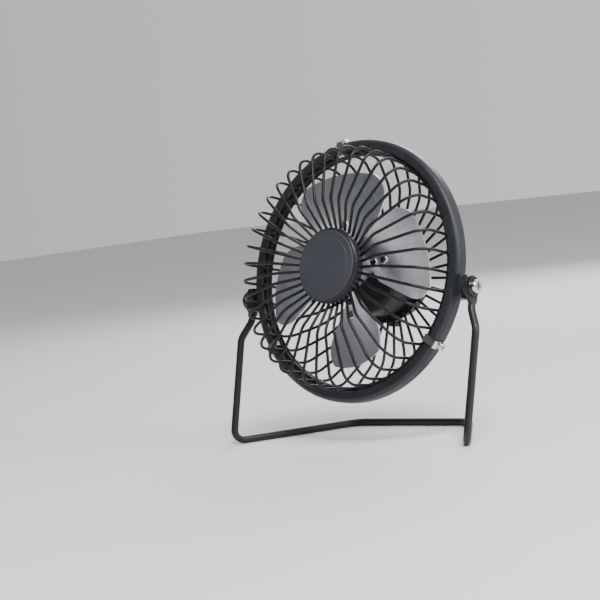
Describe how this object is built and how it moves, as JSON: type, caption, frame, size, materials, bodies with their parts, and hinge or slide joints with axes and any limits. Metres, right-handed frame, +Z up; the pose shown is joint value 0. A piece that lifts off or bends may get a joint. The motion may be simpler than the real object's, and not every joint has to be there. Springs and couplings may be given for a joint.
{
  "type": "desk fan",
  "caption": "Small metal desk fan: round wire guards on a folded steel ring that tilts in a bent-rod stand, with an aluminium rotor and a push switch on the back.",
  "frame": {"origin": "on the table, straight below the tilt axis, midway between the two legs", "axes": "+Z up, the front of the fan faces -Y, +X to the right of someone standing in front of it, along the tilt axis"},
  "size_m": [0.159, 0.0776, 0.153],
  "materials": {
    "stand_paint": "satin black paint",
    "ring_paint": "satin charcoal paint",
    "wire_paint": "satin black dip coat",
    "plate_paint": "satin black paint",
    "cap_paint": "fine satin grey paint",
    "bracket_paint": "satin black paint",
    "housing_paint": "satin black paint",
    "bright_steel": "bright nickel plate",
    "black_steel": "blackened steel",
    "zinc_steel": "zinc-plated steel",
    "nylon": "matt",
    "moulded_nylon": "matt natural nylon",
    "ferrite": "matt ferrite",
    "bronze": "sintered bronze",
    "brass": "plain brass",
    "copper": "plain copper",
    "enamelled_copper": "enamelled",
    "core_steel": "laminated steel",
    "moulded_black": "fine matt",
    "button_plastic": "soft gloss",
    "gland_rubber": "matt rubber",
    "lead_insulation": "soft PVC",
    "hub_aluminium": "cast, satin",
    "blade_aluminium": "brushed"
  },
  "bodies": {
    "stand": {"stand_frame": "stand_paint"},
    "head": {"outer_ring": "ring_paint", "front_guard_wires": "wire_paint", "front_outer_hoop": "wire_paint", "front_inner_hoop": "wire_paint", "front_plate": "plate_paint", "front_cap": "cap_paint", "rear_guard_wires": "wire_paint", "rear_hoop": "wire_paint", "rear_plate": "plate_paint", "guard_clips": "bright_steel", "clip_screws": "bright_steel", "pivot_brackets": "bracket_paint", "friction_washers": "nylon", "pivot_washers": "black_steel", "pivot_screws": "bright_steel", "motor_housing": "housing_paint", "motor_can": "zinc_steel", "motor_screws": "bright_steel", "motor_magnets": "ferrite", "motor_bushes": "bronze", "motor_end_cap": "moulded_nylon", "motor_brushes": "brass", "motor_terminals": "brass", "rear_cover": "housing_paint", "cover_screws": "black_steel", "switch_body": "moulded_black", "switch_terminals": "brass", "cable_gland": "gland_rubber", "lead_wires": "lead_insulation", "button_spring": "bright_steel"},
    "rotor": {"motor_shaft": "bright_steel", "armature_core": "core_steel", "armature_windings": "enamelled_copper", "commutator": "copper", "blade_hub": "hub_aluminium", "fan_blades": "blade_aluminium", "blade_rivets": "bright_steel"},
    "button": {"push_button": "button_plastic"}
  },
  "joints": [
    {"name": "head_tilt", "type": "hinge", "parent": "stand", "child": "head", "pos_m": [0, 0, 0.074], "axis": [-1, 0, 0], "range_deg": [-104, 76]},
    {"name": "rotor_spin", "type": "hinge", "parent": "head", "child": "rotor", "pos_m": [0, 0.00145, 0.08601], "axis": [0, 0.9703, -0.2419], "continuous": true},
    {"name": "switch_press", "type": "slide", "parent": "head", "child": "button", "axis": [0, -0.9703, 0.2419], "range_m": [0, 0.0015], "stiffness_N_per_m": 300, "springref_m": -0.002, "deforming": ["button_spring"]}
  ]
}
